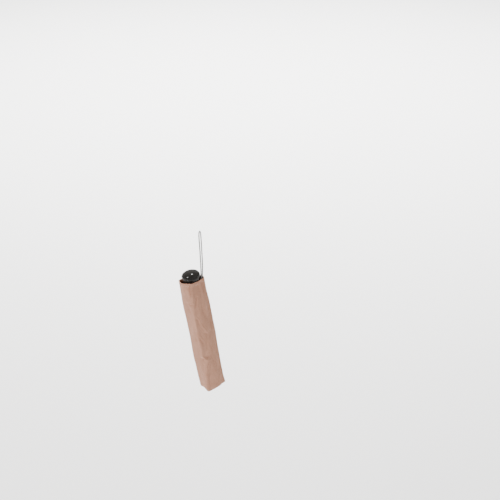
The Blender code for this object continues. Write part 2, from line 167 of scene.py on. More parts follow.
def grid_object(name, points, wrap, uv, place=AXIS):
    """Mesh from a grid of points (rows, columns, 3), closed across the columns if wrap."""
    rows, cols, _ = points.shape
    flat = points.reshape(-1, 3)
    mesh = bpy.data.meshes.new(name)
    faces = []
    corners = []
    last = cols if wrap else cols - 1
    for r in range(rows - 1):
        for c in range(last):
            d = (c + 1) % cols
            faces.append((r * cols + c, r * cols + d, (r + 1) * cols + d, (r + 1) * cols + c))
            corners += [(r, c), (r, c + 1), (r + 1, c + 1), (r + 1, c)]
    mesh.from_pydata([place @ Vector(p) for p in flat], [], faces)
    layer = mesh.uv_layers.new(name="UVMap")
    for loop, (r, c) in enumerate(corners):
        layer.data[loop].uv = uv(r, c)
    mesh.shade_smooth()
    obj = bpy.data.objects.new(name, mesh)
    bpy.context.scene.collection.objects.link(obj)
    return obj


def weld(obj, distance=1e-6):
    """Join the points that coincide, as at the poles of a turned piece."""
    bm = bmesh.new()
    bm.from_mesh(obj.data)
    bmesh.ops.remove_doubles(bm, verts=bm.verts, dist=distance)
    bmesh.ops.recalc_face_normals(bm, faces=bm.faces)
    bm.to_mesh(obj.data)
    bm.free()


def apply_modifiers(obj):
    """Replace the object's mesh by what its modifiers make of it."""
    bpy.context.view_layer.update()
    graph = bpy.context.evaluated_depsgraph_get()
    shaped = obj.evaluated_get(graph)
    mesh = bpy.data.meshes.new_from_object(shaped, preserve_all_data_layers=True, depsgraph=graph)
    obj.modifiers.clear()
    obj.data = mesh


def thicken(obj, thickness, offset):
    """Give a sheet its thickness, in millimetres; offset -1 grows it inwards."""
    solid = obj.modifiers.new("Solidify", "SOLIDIFY")
    solid.thickness = thickness * MM
    solid.offset = offset
    solid.use_even_offset = True
    apply_modifiers(obj)


def turned(name, profile, material, place=AXIS, segments=96):
    """Turned piece from (radius, height) points, whose two ends lie on the axis or meet."""
    angles = np.linspace(0.0, 2 * math.pi, segments, endpoint=False)
    profile = np.array(profile, float)
    points = np.zeros((len(profile), segments, 3))
    points[:, :, 0] = profile[:, :1] * np.cos(angles)
    points[:, :, 1] = profile[:, :1] * np.sin(angles)
    points[:, :, 2] = profile[:, 1:]
    run = np.concatenate([[0.0], np.cumsum(np.linalg.norm(np.diff(profile, axis=0), axis=1))])
    girth = max(profile[:, 0]) * 2 * math.pi

    def uv(r, c):
        return (girth * c / segments * MM, run[r] * MM)

    obj = grid_object(name, points, True, uv, place)
    weld(obj)
    obj.data.materials.append(material)
    obj.data.set_sharp_from_angle(angle=math.radians(35.0))
    return obj


def rounded(profile, radius, steps=4):
    """Profile with its inner corners rounded by short arcs."""
    points = [Vector(p) for p in profile]
    result = [points[0]]
    for before, corner, after in zip(points, points[1:], points[2:]):
        reach = min(radius, (corner - before).length * 0.45, (after - corner).length * 0.45)
        start = corner + (before - corner).normalized() * reach
        stop = corner + (after - corner).normalized() * reach
        for i in range(steps + 1):
            t = i / steps
            result.append(start.lerp(corner, t).lerp(corner.lerp(stop, t), t))
    result.append(points[-1])
    return [(p.x, p.y) for p in result]


# ---------------------------------------------------------------- material helpers


class Shader:
    """Small helper that adds nodes to one material."""

    def __init__(self, name, **sockets):
        self.material = bpy.data.materials.new(name)
        self.material.use_nodes = True
        self.tree = self.material.node_tree
        self.bsdf = self.tree.nodes["Principled BSDF"]
        for socket, value in sockets.items():
            self.bsdf.inputs[socket.replace("_", " ")].default_value = value

    def node(self, kind, inputs=None, **settings):
        """Add a node; inputs maps a socket to a value or to another node's output."""
        node = self.tree.nodes.new(kind)
        for key, value in settings.items():
            setattr(node, key, value)
        for key, value in (inputs or {}).items():
            if isinstance(value, bpy.types.NodeSocket):
                self.tree.links.new(value, node.inputs[key])
            else:
                node.inputs[key].default_value = value
        return node

    def math(self, operation, a, b=0.0, c=0.0):
        """Math node's output."""
        return self.node("ShaderNodeMath", {0: a, 1: b, 2: c}, operation=operation).outputs[0]

    def mapped(self, scale=(1.0, 1.0, 1.0), source="uv"):
        """Coordinates times a scale, from the piece's own cloth map or its place."""
        if source == "uv":
            start = self.node("ShaderNodeUVMap", uv_map="UVMap").outputs["UV"]
        else:
            start = self.node("ShaderNodeTexCoord").outputs["Object"]
        return self.node("ShaderNodeMapping", {"Vector": start, "Scale": scale}).outputs["Vector"]

    def noise(self, vector, scale, detail=3.0, roughness=0.5):
        """Noise value."""
        inputs = {"Vector": vector, "Scale": scale, "Detail": detail, "Roughness": roughness}
        return self.node("ShaderNodeTexNoise", inputs).outputs["Fac"]

    def ramp(self, value, stops):
        """Colour ramp output from (place, grey or colour) stops."""
        ramp = self.node("ShaderNodeValToRGB", {"Fac": value})
        elements = ramp.color_ramp.elements
        while len(elements) < len(stops):
            elements.new(0.5)
        for element, (place, colour) in zip(elements, stops):
            element.position = place
            grey = isinstance(colour, float)
            element.color = (colour, colour, colour, 1.0) if grey else (*colour, 1.0)
        return ramp.outputs["Color"]

    def mix(self, share, a, b, blend="MIX"):
        """Colour mix output."""
        node = self.node("ShaderNodeMix", data_type="RGBA", blend_type=blend)
        for index, value in ((0, share), (6, a), (7, b)):
            if isinstance(value, bpy.types.NodeSocket):
                self.tree.links.new(value, node.inputs[index])
            else:
                node.inputs[index].default_value = value if index == 0 else (*value, 1.0)
        return node.outputs[2]

    def bump(self, height, strength, distance, under=None):
        """Bump normal output, distance in millimetres."""
        inputs = {"Height": height, "Strength": strength, "Distance": distance * MM}
        if under is not None:
            inputs["Normal"] = under
        return self.node("ShaderNodeBump", inputs).outputs["Normal"]

    def connect(self, **sockets):
        """Link outputs to the Principled shader."""
        for socket, value in sockets.items():
            self.tree.links.new(value, self.bsdf.inputs[socket.replace("_", " ")])


def cloth_material(name, light, dark, pitch, sheen):
    """Plain-weave polyester with a thread pitch in millimetres: slubs, soft mottling, sheen."""
    s = Shader(name, Roughness=0.8, Sheen_Weight=sheen, Sheen_Roughness=0.5, Specular_IOR_Level=0.25)
    threads = 1.0 / (pitch * MM)
    parts = s.node("ShaderNodeSeparateXYZ", {"Vector": s.mapped()})
    warp = s.math("SINE", s.math("MULTIPLY", parts.outputs["X"], threads * math.pi))
    weft = s.math("SINE", s.math("MULTIPLY", parts.outputs["Y"], threads * math.pi))
    weave = s.math("MULTIPLY_ADD", s.math("MULTIPLY", warp, weft), 0.5, 0.5)
    slub_across = s.noise(s.mapped((2600.0, 120.0, 1.0)), 1.0)
    slub_along = s.noise(s.mapped((120.0, 2600.0, 1.0)), 1.0)
    slubs = s.math("MULTIPLY", s.math("ADD", slub_across, slub_along), 0.5)
    place = s.mapped(source="object")
    mottle = s.noise(place, 45.0, 4.0, 0.6)
    fine = s.noise(place, 900.0, 2.0)
    tone = s.ramp(mottle, [(0.30, dark), (0.72, light)])
    tone = s.mix(0.28, tone, s.ramp(slubs, [(0.35, 0.25), (0.65, 0.85)]), "SOFT_LIGHT")
    tone = s.mix(0.12, tone, s.ramp(fine, [(0.35, 0.3), (0.7, 0.8)]), "SOFT_LIGHT")
    tone = s.mix(0.16, tone, s.ramp(weave, [(0.1, 0.2), (0.9, 0.8)]), "SOFT_LIGHT")
    rough = s.ramp(slubs, [(0.3, 0.86), (0.7, 0.72)])
    normal = s.bump(slubs, 0.25, 0.12)
    normal = s.bump(weave, 0.35, 0.08, normal)
    s.connect(Base_Color=tone, Roughness=rough, Normal=normal)
    return s.material


def plastic_material():
    """Polished black moulded plastic with faint scuffs."""
    s = Shader("black_plastic", Specular_IOR_Level=0.30)
    place = s.mapped(source="object")
    peel = s.noise(place, 260.0, 2.0)
    dust = s.noise(place, 1400.0, 4.0, 0.7)
    scuff = s.noise(s.mapped((90.0, 1500.0, 1.0)), 1.0, 4.0, 0.7)
    tone = s.ramp(peel, [(0.3, (0.010, 0.009, 0.008)), (0.75, (0.018, 0.016, 0.014))])
    tone = s.mix(s.ramp(dust, [(0.70, 0.0), (0.82, 0.22)]), tone, (0.10, 0.09, 0.08))
    smooth = s.ramp(peel, [(0.3, 0.09), (0.7, 0.14)])
    rough = s.mix(0.5, s.ramp(scuff, [(0.35, 0.07), (0.75, 0.22)]), smooth)
    normal = s.bump(peel, 0.12, 0.05)
    s.connect(Base_Color=tone, Roughness=rough, Normal=normal)
    return s.material


def steel_material(name, dark, light):
    """Drawn, plated metal: fine lines along the piece, worn tones."""
    s = Shader(name, Metallic=1.0)
    lines = s.noise(s.mapped((5200.0, 40.0, 1.0)), 1.0, 4.0, 0.6)
    stains = s.noise(s.mapped(source="object"), 120.0, 4.0, 0.6)
    tones = [(0.3, dark), (0.7, light)]
    tone = s.mix(0.4, s.ramp(stains, tones), s.ramp(lines, tones))
    rough = s.ramp(stains, [(0.3, 0.22), (0.75, 0.38)])
    normal = s.bump(lines, 0.15, 0.03)
    s.connect(Base_Color=tone, Roughness=rough, Normal=normal)
    return s.material


def coated_material():
    """Black-coated rib steel, worn to bright metal on the raised parts."""
    s = Shader("rib_black", Specular_IOR_Level=0.5)
    place = s.mapped(source="object")
    grain = s.noise(place, 700.0, 4.0, 0.6)
    wear = s.ramp(s.noise(place, 230.0, 5.0, 0.7), [(0.62, 0.0), (0.72, 1.0)])
    tone = s.ramp(grain, [(0.3, (0.020, 0.020, 0.021)), (0.75, (0.050, 0.050, 0.052))])
    tone = s.mix(wear, tone, (0.22, 0.22, 0.23))
    rough = s.ramp(grain, [(0.3, 0.34), (0.7, 0.5)])
    normal = s.bump(grain, 0.15, 0.04)
    s.connect(Base_Color=tone, Roughness=rough, Normal=normal, Metallic=wear)
    return s.material


def cord_material():
    """Braided light grey polyester."""
    s = Shader("cord_grey", Sheen_Weight=0.04, Sheen_Roughness=0.4, Specular_IOR_Level=0.4)
    strands = s.noise(s.mapped((3000.0, 700.0, 1.0)), 1.0, 3.0)
    soil = s.noise(s.mapped(source="object"), 60.0, 3.0)
    tone = s.ramp(soil, [(0.3, (0.21, 0.207, 0.198)), (0.7, (0.29, 0.286, 0.275))])
    tone = s.mix(0.35, tone, s.ramp(strands, [(0.3, 0.30), (0.7, 0.85)]), "SOFT_LIGHT")
    rough = s.ramp(strands, [(0.3, 0.65), (0.7, 0.45)])
    normal = s.bump(strands, 0.3, 0.06)
    s.connect(Base_Color=tone, Roughness=rough, Normal=normal)
    return s.material


PINK = (0.530, 0.275, 0.184)
DEEP_PINK = (0.462, 0.231, 0.150)
SLEEVE_CLOTH = cloth_material("sleeve_cloth", PINK, DEEP_PINK, 0.42, 0.05)
CANOPY_CLOTH = cloth_material("canopy_cloth", PINK, DEEP_PINK, 0.30, 0.10)
THREAD_PINK = (0.430, 0.240, 0.178)
THREAD_DEEP_PINK = (0.370, 0.200, 0.148)
SEAM_THREAD = cloth_material("seam_thread", THREAD_PINK, THREAD_DEEP_PINK, 0.25, 0.05)
PLASTIC = plastic_material()
STEEL = steel_material("plated_steel", (0.38, 0.38, 0.38), (0.66, 0.66, 0.65))
RIB_BLACK = coated_material()
CORD_GREY = cord_material()


# ---------------------------------------------------------------- camera, light, stage


def build_stage():
    """Camera, pale floor, lamps and a soft white world."""
    build_camera()
    build_floor()
    build_lamps()
    world = bpy.data.worlds.new("studio")
    world.use_nodes = True
    background = world.node_tree.nodes["Background"]
    background.inputs["Color"].default_value = (1.0, 1.0, 1.0, 1.0)
    background.inputs["Strength"].default_value = 0.55
    bpy.context.scene.world = world


def build_camera():
    """Camera in front, looking down at the umbrella."""
    data = bpy.data.cameras.new("camera")
    data.sensor_width = 36.0
    data.lens = CAMERA_LENS
    data.clip_end = 50.0
    camera = bpy.data.objects.new("camera", data)
    back = Vector((0.0, -math.cos(CAMERA_PITCH), math.sin(CAMERA_PITCH)))
    camera.location = Vector(CAMERA_TARGET) + CAMERA_DISTANCE * back
    camera.rotation_euler = (math.pi / 2 - CAMERA_PITCH, 0.0, 0.0)
    bpy.context.scene.collection.objects.link(camera)
    bpy.context.scene.camera = camera


def build_floor():
    """Large white floor below the umbrella, which fills the background."""
    white = Shader("stage_white", Base_Color=(0.90, 0.895, 0.885, 1.0), Roughness=0.9)
    mesh = bpy.data.meshes.new("floor")
    bm = bmesh.new()
    bmesh.ops.create_grid(bm, x_segments=1, y_segments=1, size=FLOOR_HALF_SIZE)
    bm.to_mesh(mesh)
    bm.free()
    mesh.materials.append(white.material)
    floor = bpy.data.objects.new("floor", mesh)
    floor.location = (0.0, 0.0, FLOOR_Z)
    bpy.context.scene.collection.objects.link(floor)


def build_lamps():
    """Key from the left, fill, top, a small spark on the cap, and light on the background."""
    umbrella = Vector((0.0, 0.0, -0.18))
    lamps = (
        # name, place, size in metres, power, shows in reflections
        ("key", (-1.5, -1.1, 1.3), 0.6, 32.0, True),
        ("fill", (1.6, -1.2, 0.7), 1.4, 2.2, True),
        ("top", (0.1, 0.2, 1.9), 1.6, 6.0, False),
        ("spark", (-0.05, 0.20, 1.02), 0.22, 7.0, True),
        ("backdrop_light", (0.1, 4.2, 2.6), 5.0, 1150.0, False),
    )
    for name, place, size, power, mirrored in lamps:
        light = bpy.data.lights.new(name, "AREA")
        light.shape = "DISK"
        light.size = size
        light.energy = power
        lamp = bpy.data.objects.new(name, light)
        lamp.location = place
        below = Vector((place[0], place[1], -1.0))
        aim = below if name == "backdrop_light" else umbrella
        lamp.rotation_euler = (aim - Vector(place)).to_track_quat("-Z", "Y").to_euler()
        lamp.visible_glossy = mirrored
        bpy.context.scene.collection.objects.link(lamp)


# ---------------------------------------------------------------- cord


def smooth_route(route, count):
    """Evenly spaced points along a smooth curve through the route, in metres."""
    places = [Vector(p) * MM for p in route]
    places = [2 * places[0] - places[1]] + places + [2 * places[-1] - places[-2]]
    dense = []
    steps = 20
    for a, b, c, d in zip(places, places[1:], places[2:], places[3:]):
        for step in range(steps):
            t = step / steps
            cubic = 2 * b + (c - a) * t + (2 * a - 5 * b + 4 * c - d) * t**2
            dense.append(0.5 * (cubic + (3 * b - a - 3 * c + d) * t**3))
    dense.append(places[-2])
    dense = np.array(dense)
    run = np.concatenate([[0.0], np.cumsum(np.linalg.norm(np.diff(dense, axis=0), axis=1))])
    wanted = np.linspace(0.0, run[-1], count)
    return np.stack([np.interp(wanted, run, dense[:, k]) for k in range(3)], axis=1), run[-1]


def build_cord():
    """Braided cord loop, as a tube with raised crossing strands."""
    rings = 860
    sides = 20
    line, length = smooth_route(CORD_ROUTE, rings)
    tangent = np.gradient(line, axis=0)
    tangent /= np.linalg.norm(tangent, axis=1)[:, None]
    across = np.cross(tangent, np.array([1.0, 0.25, 0.0]))
    across /= np.linalg.norm(across, axis=1)[:, None]
    other = np.cross(tangent, across)
    angles = np.linspace(0.0, 2 * math.pi, sides, endpoint=False)
    run = np.linspace(0.0, length / MM, rings)[:, None]
    lay = 2 * math.pi * run / CORD_LAY
    strands = np.maximum(np.cos(4 * angles + lay), np.cos(4 * angles - lay))
    radius = (CORD_DIAMETER / 2 - 0.08 + 0.16 * strands) * MM
    around = np.cos(angles)[None, :, None] * across[:, None, :]
    around = around + np.sin(angles)[None, :, None] * other[:, None, :]
    points = line[:, None, :] + radius[:, :, None] * around
    caps = np.repeat(line[[0, -1]][:, None, :], sides, axis=1)
    points = np.concatenate([caps[:1], points, caps[1:]], axis=0)
    girth = CORD_DIAMETER * math.pi * MM

    def uv(r, c):
        return (girth * c / sides, length * r / rings)

    cord = grid_object("cord_loop", points, True, uv, Matrix.Identity(4))
    weld(cord)
    cord.data.materials.append(CORD_GREY)
    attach(cord, "handle")
    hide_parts("hang_cord")


# ---------------------------------------------------------------- sleeve


SLEEVE_CORNERS = (
    # share down the sleeve, then (azimuth in degrees, radius) of each soft corner
    (0.00, (-140, 23.6), (-86, 23.8), (-4, 25.2), (80, 23.8), (174, 25.7)),
    (0.05, (-142, 22.6), (-90, 23.8), (-4, 24.9), (80, 24.0), (175, 26.0)),
    (0.12, (-146, 21.4), (-93, 24.2), (-4, 25.2), (82, 24.2), (176, 26.8)),
    (0.20, (-149, 20.9), (-98, 24.6), (-2, 26.5), (83, 24.6), (177, 27.2)),
    (0.30, (-150, 20.6), (-104, 24.6), (-2, 26.7), (84, 24.6), (178, 27.2)),
    (0.42, (-150, 20.4), (-104, 24.6), (-5, 26.3), (86, 24.4), (178, 27.1)),
    (0.52, (-150, 20.2), (-104, 24.6), (-3, 26.5), (82, 24.6), (177, 26.9)),
    (0.62, (-152, 20.2), (-103, 24.4), (-2, 25.5), (84, 24.6), (178, 27.2)),
    (0.69, (-152, 20.4), (-105, 24.4), (-4, 25.0), (82, 24.4), (179, 28.2)),
    (0.725, (-152, 20.6), (-85, 24.8), (-6, 24.8), (80, 24.4), (180, 28.6)),
    (0.77, (-152, 20.4), (-92, 24.8), (-6, 24.5), (80, 24.4), (180, 28.0)),
    (0.84, (-152, 20.2), (-101, 25.0), (-5, 24.2), (82, 24.6), (179, 27.6)),
    (0.91, (-152, 20.0), (-106, 25.6), (-3, 24.2), (84, 24.6), (178, 27.2)),
    (1.00, (-152, 19.8), (-112, 26.4), (-1, 25.8), (80, 24.6), (180, 25.9)),
)
SLEEVE_CORNER_COUNT = len(SLEEVE_CORNERS[0]) - 1

# How far the corners are rounded along the section, in degrees
CORNER_BLUR = 4.6
CORNER_BLUR_REACH = 18

# The mouth's hem and its row of stitches, in millimetres
HEM_RISE = 0.12
HEM_DEPTH = 6.2
STITCH_DEPTH = 5.2
STITCH_RADIUS = 0.08
STITCH_COUNT = 62

# The lower edge sags most at one azimuth, in degrees, by this much, in millimetres
DROOP_AZIMUTH = -108.0
DROOP = 4.2

SLEEVE_CREASES = (
    # start and end as (azimuth in degrees, share down), half width and depth in millimetres
    ((-99, -0.010), (-103, 0.140), 0.8, 2.2),
    ((-136, 0.184), (-90, 0.196), 1.2, 1.7),
    ((-54, -0.060), (-48, 0.200), 3.0, 1.9),
    ((-26, -0.060), (-24, 0.220), 2.4, 1.2),
    ((-76, 0.100), (-94, 0.270), 2.0, 1.3),
    ((-152, 0.17), (-112, 0.30), 2.8, 0.9),
    ((-128, 0.04), (-134, 0.16), 2.4, 0.7),
    ((-54, 0.200), (-50, 0.340), 2.8, 1.7),
    ((-102, 0.310), (-86, 0.395), 1.4, 1.5),
    ((-94, 0.400), (-54, 0.500), 2.0, 1.7),
    ((-114, 0.38), (-126, 0.50), 1.8, 0.9),
    ((-34, 0.32), (-28, 0.52), 2.4, 1.2),
    ((-144, 0.44), (-112, 0.56), 2.8, 0.9),
    ((-106, 0.490), (-88, 0.565), 1.5, 1.5),
    ((-60, 0.530), (-84, 0.650), 2.4, 1.4),
    ((-36, 0.54), (-30, 0.72), 2.6, 1.2),
    ((-68, 0.694), (-116, 0.722), 1.2, 2.2),
    ((-82, 0.735), (-92, 0.815), 1.3, 1.5),
    ((-130, 0.70), (-112, 0.79), 2.2, 0.9),
    ((-56, 0.720), (-26, 0.880), 2.6, 1.7),
    ((-150, 0.80), (-118, 0.91), 2.4, 0.9),
    ((-92, 0.86), (-104, 0.975), 1.9, 1.0),
    ((-40, 0.90), (-62, 0.985), 2.2, 1.0),
    ((-136, 0.93), (-122, 0.99), 2.0, 0.7),
    ((20, 0.08), (64, 0.24), 2.6, 0.9),
    ((46, 0.02), (52, 0.16), 2.2, 0.9),
    ((100, 0.18), (150, 0.30), 2.4, 0.9),
    ((140, 0.03), (132, 0.20), 2.4, 0.9),
    ((60, 0.40), (108, 0.48), 2.2, 0.9),
    ((44, 0.48), (38, 0.60), 2.6, 0.8),
    ((150, 0.38), (140, 0.56), 2.6, 0.8),
    ((30, 0.58), (74, 0.70), 2.6, 0.9),
    ((96, 0.66), (140, 0.78), 2.2, 1.0),
    ((50, 0.84), (100, 0.93), 2.4, 0.9),
    ((26, 0.76), (38, 0.92), 2.4, 0.8),
    ((150, 0.82), (138, 0.96), 2.2, 0.8),
)


def sleeve_section(share, azimuths):
    """Radius of the sleeve at one height, for all azimuths in degrees."""
    keys = np.array([row[0] for row in SLEEVE_CORNERS])
    corners = []
    for k in range(SLEEVE_CORNER_COUNT):
        angle = np.interp(share, keys, [row[k + 1][0] for row in SLEEVE_CORNERS])
        reach = np.interp(share, keys, [row[k + 1][1] for row in SLEEVE_CORNERS])
        corners.append((math.radians(angle), reach))
    fine = np.radians(np.arange(0.0, 360.0, 1.0))
    radius = np.zeros(fine.shape)
    for k in range(SLEEVE_CORNER_COUNT):
        a0, r0 = corners[k]
        a1, r1 = corners[(k + 1) % SLEEVE_CORNER_COUNT]
        start = np.array([math.cos(a0), math.sin(a0)]) * r0
        stop = np.array([math.cos(a1), math.sin(a1)]) * r1
        edge = stop - start
        normal = np.array([edge[1], -edge[0]]) / np.linalg.norm(edge)
        reach = normal @ start
        facing = np.cos(fine) * normal[0] + np.sin(fine) * normal[1]
        between = np.mod(fine - a0, 2 * math.pi) <= np.mod(a1 - a0, 2 * math.pi)
        radius = np.where(between, reach / np.maximum(facing, 0.2), radius)
    # the faces are full, not flat: the cloth is drawn over the handle and the bundle
    shares = [0.0, 0.05, 0.10, 0.16, 0.93, 1.0]
    radius = np.maximum(radius, np.interp(share, shares, [19.6, 19.5, 19.7, 20.5, 20.2, 19.0]))
    reach = CORNER_BLUR_REACH
    kernel = np.exp(-0.5 * (np.arange(-reach, reach + 1) / CORNER_BLUR) ** 2)
    kernel /= kernel.sum()
    padded = np.concatenate([radius[-reach:], radius, radius[:reach]])
    radius = np.convolve(padded, kernel, mode="valid")
    wrapped = np.mod(azimuths, 360.0)
    return np.interp(wrapped, np.arange(0.0, 361.0, 1.0), np.append(radius, radius[0]))


def soft_waves(azimuth, share):
    """Slow, gentle unevenness of hung cloth, in millimetres."""
    a = np.radians(azimuth)
    wave = 0.22 * np.sin(3 * a + 9.0 * share + 0.6) * np.sin(7.0 * share + 1.1)
    wave += 0.16 * np.sin(5 * a - 17.0 * share + 2.0)
    wave += 0.12 * np.sin(2 * a + 31.0 * share + 0.4) * np.sin(4 * a + 1.0)
    wave += 0.07 * np.sin(9 * a + 26.0 * share) * np.sin(41.0 * share + 2 * a)
    return wave


def crease_depth(azimuth, share):
    """Depth of the creases at each point, in millimetres, with a raised lip beside each."""
    around = SLEEVE_MEAN_RADIUS * math.pi / 180.0
    depth = np.zeros(np.broadcast(azimuth, share).shape)
    along = share * SLEEVE_LENGTH
    for (a0, s0), (a1, s1), half, deep in SLEEVE_CREASES:
        dx = ((azimuth - a0 + 180.0) % 360.0 - 180.0) * around
        dy = along - s0 * SLEEVE_LENGTH
        ex = (a1 - a0) * around
        ey = (s1 - s0) * SLEEVE_LENGTH
        span = ex * ex + ey * ey
        t = np.clip((dx * ex + dy * ey) / span, 0.0, 1.0)
        sway = 0.9 * np.sin(t * 7.0 + a0) * np.sin(np.pi * t)
        across = ((dx - t * ex) * ey - (dy - t * ey) * ex) / math.sqrt(span) - sway
        beyond = np.abs((dx * ex + dy * ey) / span - t) * math.sqrt(span)
        away = np.hypot(across, beyond)
        fade = np.sin(np.pi * np.clip(t, 0.03, 0.97)) ** 0.6
        # sharp valley, steeper on one side, with a low ridge beside it
        steep = np.where(across > 0, half, 1.7 * half)
        depth += deep * fade * np.exp(-np.abs(away / steep) ** 1.4)
        depth -= 0.45 * deep * fade * np.exp(-(((across - 1.9 * half) / half) ** 2)) * (beyond < 0.01)
    return depth


def sleeve_points(rows, cols):
    """Grid of the sleeve's outer surface, from the mouth down, on the umbrella's own axes."""
    azimuths = np.linspace(-270.0, 90.0, cols, endpoint=False)
    points = np.zeros((rows, cols, 3))
    for r in range(rows):
        share = r / (rows - 1)
        radius = outer_radius(azimuths, share)
        hem = 1.0 - smoothstep(share * SLEEVE_LENGTH, HEM_DEPTH, HEM_DEPTH + 1.0)
        radius = radius + HEM_RISE * hem
        a = np.radians(azimuths)
        points[r, :, 0] = radius * np.cos(a)
        points[r, :, 1] = radius * np.sin(a)
        away = (azimuths - DROOP_AZIMUTH + 180.0) % 360.0 - 180.0
        droop = DROOP * np.exp(-((away / 40.0) ** 2)) * smoothstep(share, 0.80, 1.0)
        points[r, :, 2] = -share * SLEEVE_LENGTH - droop + lip_lift(azimuths, share)
    return points


def drawn_in(ring, inset):
    """Copy of a ring of points, drawn in towards the axis."""
    result = ring.copy()
    length = np.linalg.norm(ring[:, :2], axis=1)
    result[:, :2] *= ((length - inset) / length)[:, None]
    return result


def build_sleeve():
    """Sleeve: a soft five-cornered bag with a hem at the mouth, a side seam and a sewn base."""
    rows = 190
    cols = 220
    outer = sleeve_points(rows, cols)
    # rounded lower edge, then the base, pulled in to its middle
    rim = outer[-1]
    level = -SLEEVE_LENGTH - 0.6
    base = [outer]
    for inset, drop in ((0.35, 0.9), (1.1, 1.5), (2.2, 1.8), (6.0, 1.5), (11.0, 1.2), (16.0, 1.1)):
        ring = drawn_in(rim, inset)
        ring[:, 2] = rim[:, 2] - drop + (level - rim[:, 2]) * smoothstep(inset, 1.0, 12.0)
        base.append(ring[None])
    centre = np.zeros((1, cols, 3))
    centre[:, :, 2] = level - 1.0
    base.append(centre)
    # the hem turns over the lip and runs down inside
    lip = outer[0]
    inner = []
    for inset, down in ((1.15, HEM_DEPTH), (1.15, 3.6), (1.05, 1.0), (0.85, 0.15), (0.45, -0.12)):
        ring = drawn_in(lip, inset)
        ring[:, 2] = lip[:, 2] - down
        inner.append(ring[None])
    points = np.concatenate(inner + base, axis=0)
    run = np.cumsum(np.linalg.norm(np.diff(points[:, 0], axis=0), axis=1))
    run = np.concatenate([[0.0], run]) * MM

    def uv(r, c):
        return (SLEEVE_GIRTH * c / cols, run[r])

    sleeve = grid_object("sleeve_bag", points, True, uv)
    weld(sleeve)
    sleeve.data.materials.append(SLEEVE_CLOTH)
    thicken(sleeve, SLEEVE_THICKNESS, -1.0)
    join(sleeve, [build_side_seam(), build_stitches()])
    return sleeve


def held_radius(azimuth, share):
    """Least radius that clears the handle, the cord and its boss, the bundle and the strap's snap."""
    # down to 0.08 the grip, from 0.12 to 0.92 the folded cloth, then the end cap
    shares = [0.0, 0.03, 0.08, 0.10, 0.12, 0.92, 0.95, 1.0]
    least = np.interp(share, shares, [18.9, 18.2, 17.0, 18.6, 18.95, 18.95, 17.5, 15.0])
    turn = (azimuth + 180.0) % 360.0 - 180.0
    boss_radius = 23.1
    boss = np.exp(-(((turn - BOSS_AZIMUTH) / 14.0) ** 4)) * (1.0 - smoothstep(share, 0.08, 0.12))
    strap_share = 0.424
    strap = 0.9 * math.exp(-(((share - strap_share) / 0.05) ** 4))
    snap = 1.7 * np.exp(-(((turn - SNAP_AZIMUTH) / 16.0) ** 4))
    snap = snap * math.exp(-(((share - strap_share) / 0.045) ** 4))
    return least + (boss_radius - least) * boss + strap + snap


def outer_radius(azimuth, share):
    """Radius of the sleeve's cloth at given azimuths, at one share down."""
    azimuth = np.atleast_1d(np.asarray(azimuth, float))
    waves = soft_waves(azimuth, share) - crease_depth(azimuth, np.full(azimuth.shape, share))
    least = held_radius(azimuth, share)
    # a soft maximum, so that a crease ends smoothly on what lies inside
    hardness = 5.0
    above = sleeve_section(share, azimuth) + waves - least
    return least + np.logaddexp(0.0, hardness * above) / hardness


def lip_lift(azimuth, share):
    """How far the cloth stands above its even height near the mouth, in millimetres."""
    a = np.radians(azimuth)
    return (0.8 * np.sin(2 * a + 0.6) + 0.5 * np.sin(3 * a)) * (1.0 - smoothstep(share, 0.0, 0.12))


def build_stitches():
    """Row of short stitches that holds the mouth's hem."""
    share = STITCH_DEPTH / SLEEVE_LENGTH
    sides = 8
    steps = np.linspace(-1.0, 1.0, 7)
    blocks = []
    for i in range(STITCH_COUNT):
        middle = 360.0 * i / STITCH_COUNT
        # each stitch takes up 0.34 of its pitch on either side of its middle
        angles = middle + steps * 360.0 / STITCH_COUNT * 0.34
        radius = outer_radius(angles, share) + HEM_RISE
        lift = lip_lift(angles, share)
        for j, step in enumerate(steps):
            a = math.radians(angles[j])
            thick = STITCH_RADIUS * math.sqrt(max(1.0 - step * step, 0.0)) + 0.005
            sink = 0.12 * step * step
            ring = []
            for k in range(sides):
                b = 2 * math.pi * k / sides
                r = radius[j] - sink + thick * math.cos(b)
                z = lift[j] - STITCH_DEPTH + thick * math.sin(b)
                ring.append((r * math.cos(a), r * math.sin(a), z))
            blocks.append(ring)
    points = np.array(blocks).reshape(STITCH_COUNT, len(steps), sides, 3)

    def uv(r, c):
        return (r * 0.0003, c * 0.0001)

    pieces = [grid_object(f"stitch_{i}", grid, True, uv) for i, grid in enumerate(points)]
    pieces[0].data.materials.append(SEAM_THREAD)
    join(pieces[0], pieces[1:])
    return pieces[0]


def join(main, others):
    """Join the other meshes into the first, keeping their materials."""
    bpy.ops.object.select_all(action="DESELECT")
    for obj in others:
        obj.select_set(True)
    main.select_set(True)
    bpy.context.view_layer.objects.active = main
    bpy.ops.object.join()


